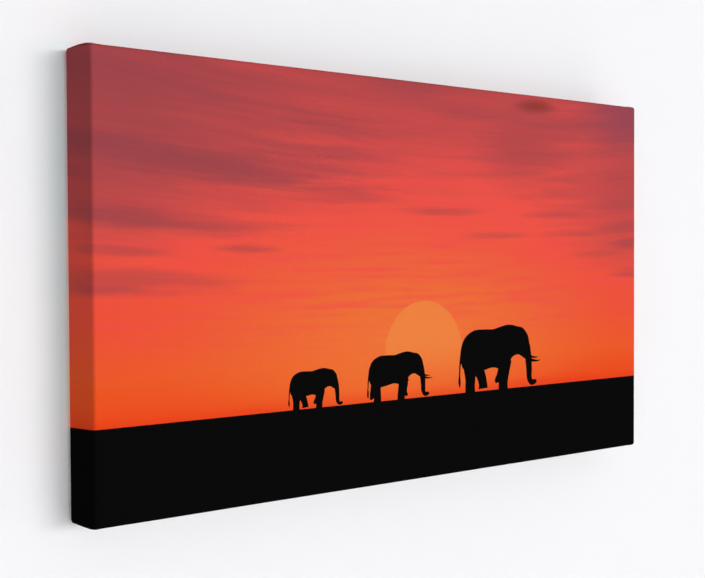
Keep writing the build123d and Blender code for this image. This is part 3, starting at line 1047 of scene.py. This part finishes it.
def make_cloth():
    """The whole printed cloth as one piece."""
    cloth = Cloth()
    picture_face(cloth)
    face_bands(cloth)
    for sign in (-1, 1):
        side_wall(cloth, sign)
        folded_side(cloth, sign)
        for corner in (-1, 1):
            corner_tab(cloth, sign, corner)
    bmesh.ops.remove_doubles(cloth.mesh, verts=cloth.mesh.verts, dist=SAME_PLACE)
    bmesh.ops.dissolve_degenerate(cloth.mesh, edges=cloth.mesh.edges, dist=SAME_PLACE)
    mesh = bpy.data.meshes.new("printed_cloth")
    cloth.mesh.to_mesh(mesh)
    cloth.mesh.free()
    # The darker colour of each cloth is the painted shade in the gaps of its weave
    raw = plain_cloth_material("raw_cloth", "#e6dfcf", "#bfb49c", 0.12 * MM)
    primed = plain_cloth_material("primed_cloth", "#f1eee6", "#dcd7cb", 0.06 * MM)
    # The thickness gives the inside of the first three slots the three slots after them
    for material in (sky_material(), ink_material(), primed, raw, raw, raw):
        mesh.materials.append(material)
    piece = object_from("printed_cloth", mesh)
    thicken(piece)
    fray(piece)
    return piece


# ---------------- Stage, light and camera ----------------

WALL_GAP = 0.2 * MM  # behind the bumpers
WALL_LEFT = -6
WALL_RIGHT = 8
WALL_TOP = 4
FLOOR_DROP = 0.75  # from the picture's lower edge
FLOOR_REACH = 15
BACKDROP_RADIUS = 12
BACKDROP_GLOW = 0.78

# How much red the wall takes back, and how far from the print's edges
RED_BESIDE = (0.38, 0.22)  # at mid height, and from RED_HIGH up
RED_HIGH = 0.14
RED_ABOVE = 0.13
RED_REACH_BESIDE = 14 * MM
RED_REACH_ABOVE = 35 * MM

# Light
WHITE = (1.0, 1.0, 1.0, 1.0)
WORLD_STRENGTH = 0.35
KEY_AZIMUTHS = (-6, 4, 12, 20, 30)  # degrees, positive to the right
KEY_ELEVATION = 6
KEY_STRENGTH = 1.66  # of all of them together
KEY_SOFTNESS = 14

# Camera, in millimetres, degrees and picture widths from the middle of the face
CAMERA_LENS = 61.7
CAMERA_SENSOR = 36
CAMERA_YAW = -38.97
CAMERA_PITCH = -1.44
CAMERA_ROLL = 0.26
CAMERA_OFFSET = (-1.1486, -1.2816, 0.0324)


def fading(nodes, value, edge, reach):
    """1 at an edge, falling away on both sides of it."""
    away = nodes.math("ABSOLUTE", nodes.math("SUBTRACT", value, edge))
    return nodes.math("EXPONENT", nodes.math("DIVIDE", away, -reach))


def red_share(nodes):
    """How much red the wall takes back beside and above the print, whose sides reflect red on to it."""
    across_x, _, upward = nodes.split(nodes.place())
    # Beside the left side, from the horizon to the top
    from_horizon = nodes.ease(upward, HORIZON - 18 * MM, HORIZON + 16 * MM)
    to_top = nodes.ease(upward, HALF_H - 20 * MM, HALF_H + 24 * MM, 1.0, 0.0)
    beside = nodes.ease(upward, 0.0, RED_HIGH, *RED_BESIDE)
    beside = nodes.times(beside, nodes.times(from_horizon, to_top))
    beside = nodes.times(beside, fading(nodes, across_x, -HALF_W, RED_REACH_BESIDE))
    # Above the top side, from end to end
    from_middle = nodes.math("ABSOLUTE", across_x)
    above = nodes.ease(from_middle, HALF_W - 50 * MM, HALF_W + 15 * MM, RED_ABOVE, 0.0)
    above = nodes.times(above, fading(nodes, upward, HALF_H, RED_REACH_ABOVE))
    return nodes.plus(beside, above)


def stage_material(name, tint, beside_print=False):
    """Matt paint that can be seen through from behind, so that no view is blocked.

    Paint beside the print takes back the red that the print's sides throw on to it.
    """
    nodes = Nodes(name)
    mottle = nodes.ease(nodes.noise(nodes.place(), 3.0), 0.3, 0.7, 0.995, 1.0)
    shade = nodes.mix(1.0, tint, mottle, "MULTIPLY")
    if beside_print:
        without_red = (0.0, *colour(tint)[1:])
        shade = nodes.mix(red_share(nodes), shade, without_red)
    clear = nodes.add("ShaderNodeBsdfTransparent")
    either = nodes.add("ShaderNodeMixShader")
    nodes.put(either.inputs[0], nodes.add("ShaderNodeNewGeometry").outputs["Backfacing"])
    nodes.put(either.inputs[1], nodes.shader.outputs[0])
    nodes.put(either.inputs[2], clear.outputs[0])
    nodes.surface(either.outputs[0])
    return nodes.finish(shade, 1.0, specular=0.0)


def panel(name, corners, material):
    """A flat stage piece with four corners."""
    mesh = bpy.data.meshes.new(name)
    mesh.from_pydata([Vector(corner) for corner in corners], [], [(0, 1, 2, 3)])
    mesh.materials.append(material)
    piece = object_from(name, mesh)
    return piece


def hide_from_light(piece):
    """Keeps a stage piece from shading the object and from showing in its light and reflections."""
    piece.visible_shadow = False
    piece.visible_diffuse = False
    piece.visible_glossy = False


def make_stage():
    """A wall behind the picture and a floor below it."""
    low = -HALF_H - FLOOR_DROP
    behind = WALL + WALL_GAP
    corners = [(WALL_LEFT, low), (WALL_RIGHT, low), (WALL_RIGHT, WALL_TOP), (WALL_LEFT, WALL_TOP)]
    paint = stage_material("wall_paint", "#f8f8fa", beside_print=True)
    hide_from_light(panel("wall", [(x, behind, z) for x, z in corners], paint))
    corners = [(-1, -1), (1, -1), (1, 1), (-1, 1)]
    paint = stage_material("floor_paint", "#f2f2f3")
    panel("floor", [(x * FLOOR_REACH, y * FLOOR_REACH, low) for x, y in corners], paint)


def make_backdrop():
    """A pale surround for the other views; it gives no light."""
    nodes = Nodes("backdrop")
    glow = nodes.add("ShaderNodeEmission")
    glow.inputs[0].default_value = WHITE
    glow.inputs[1].default_value = BACKDROP_GLOW
    nodes.surface(glow.outputs[0])
    ball = bmesh.new()
    bmesh.ops.create_icosphere(ball, subdivisions=3, radius=BACKDROP_RADIUS)
    mesh = bpy.data.meshes.new("backdrop")
    ball.to_mesh(mesh)
    ball.free()
    mesh.materials.append(nodes.material)
    surround = object_from("backdrop", mesh)
    hide_from_light(surround)


def make_sun(name, azimuth, elevation, strength, softness):
    """A distant soft light; azimuth 0 shines from the viewer's side and 90 from the right."""
    light = bpy.data.lights.new(name, "SUN")
    light.energy = strength
    light.angle = math.radians(softness)
    lamp = object_from(name, light)
    turn = math.radians(azimuth)
    rise = math.radians(elevation)
    source = Vector((math.sin(turn) * math.cos(rise), -math.cos(turn) * math.cos(rise), math.sin(rise)))
    lamp.rotation_euler = source.to_track_quat("Z", "Y").to_euler()


def make_light():
    """Even daylight, a row of soft lights from the front, and one from behind for floor and back."""
    world = bpy.data.worlds.new("studio")
    world.use_nodes = True
    background = world.node_tree.nodes["Background"]
    background.inputs[0].default_value = WHITE
    background.inputs[1].default_value = WORLD_STRENGTH
    bpy.context.scene.world = world
    for number, azimuth in enumerate(KEY_AZIMUTHS):
        make_sun(f"key_{number}", azimuth, KEY_ELEVATION, KEY_STRENGTH / len(KEY_AZIMUTHS), KEY_SOFTNESS)
    make_sun("back_fill", azimuth=155, elevation=35, strength=2.2, softness=30)


def make_camera():
    """The photograph's camera."""
    lens = bpy.data.cameras.new("camera")
    lens.lens = CAMERA_LENS
    lens.sensor_width = CAMERA_SENSOR
    camera = object_from("camera", lens)
    turns = ((CAMERA_YAW, "Z"), (CAMERA_PITCH, "X"), (CAMERA_ROLL, "Y"), (90, "X"))
    heading = Matrix.Identity(4)
    for angle, axis in turns:
        heading = heading @ Matrix.Rotation(math.radians(angle), 4, axis)
    middle = Vector((0, FRONT, 0))
    place = Matrix.Translation(middle + Vector(CAMERA_OFFSET) * 2 * HALF_W)
    camera.matrix_world = place @ heading
    bpy.context.scene.camera = camera


# ---------------- The scene ----------------

make_camera()
make_stage()
make_backdrop()
make_light()
bpy.context.scene.view_settings.view_transform = "Standard"
dress_wood()
dress_hardware()

printed_cloth = make_cloth()
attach(printed_cloth, "frame")
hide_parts("canvas")
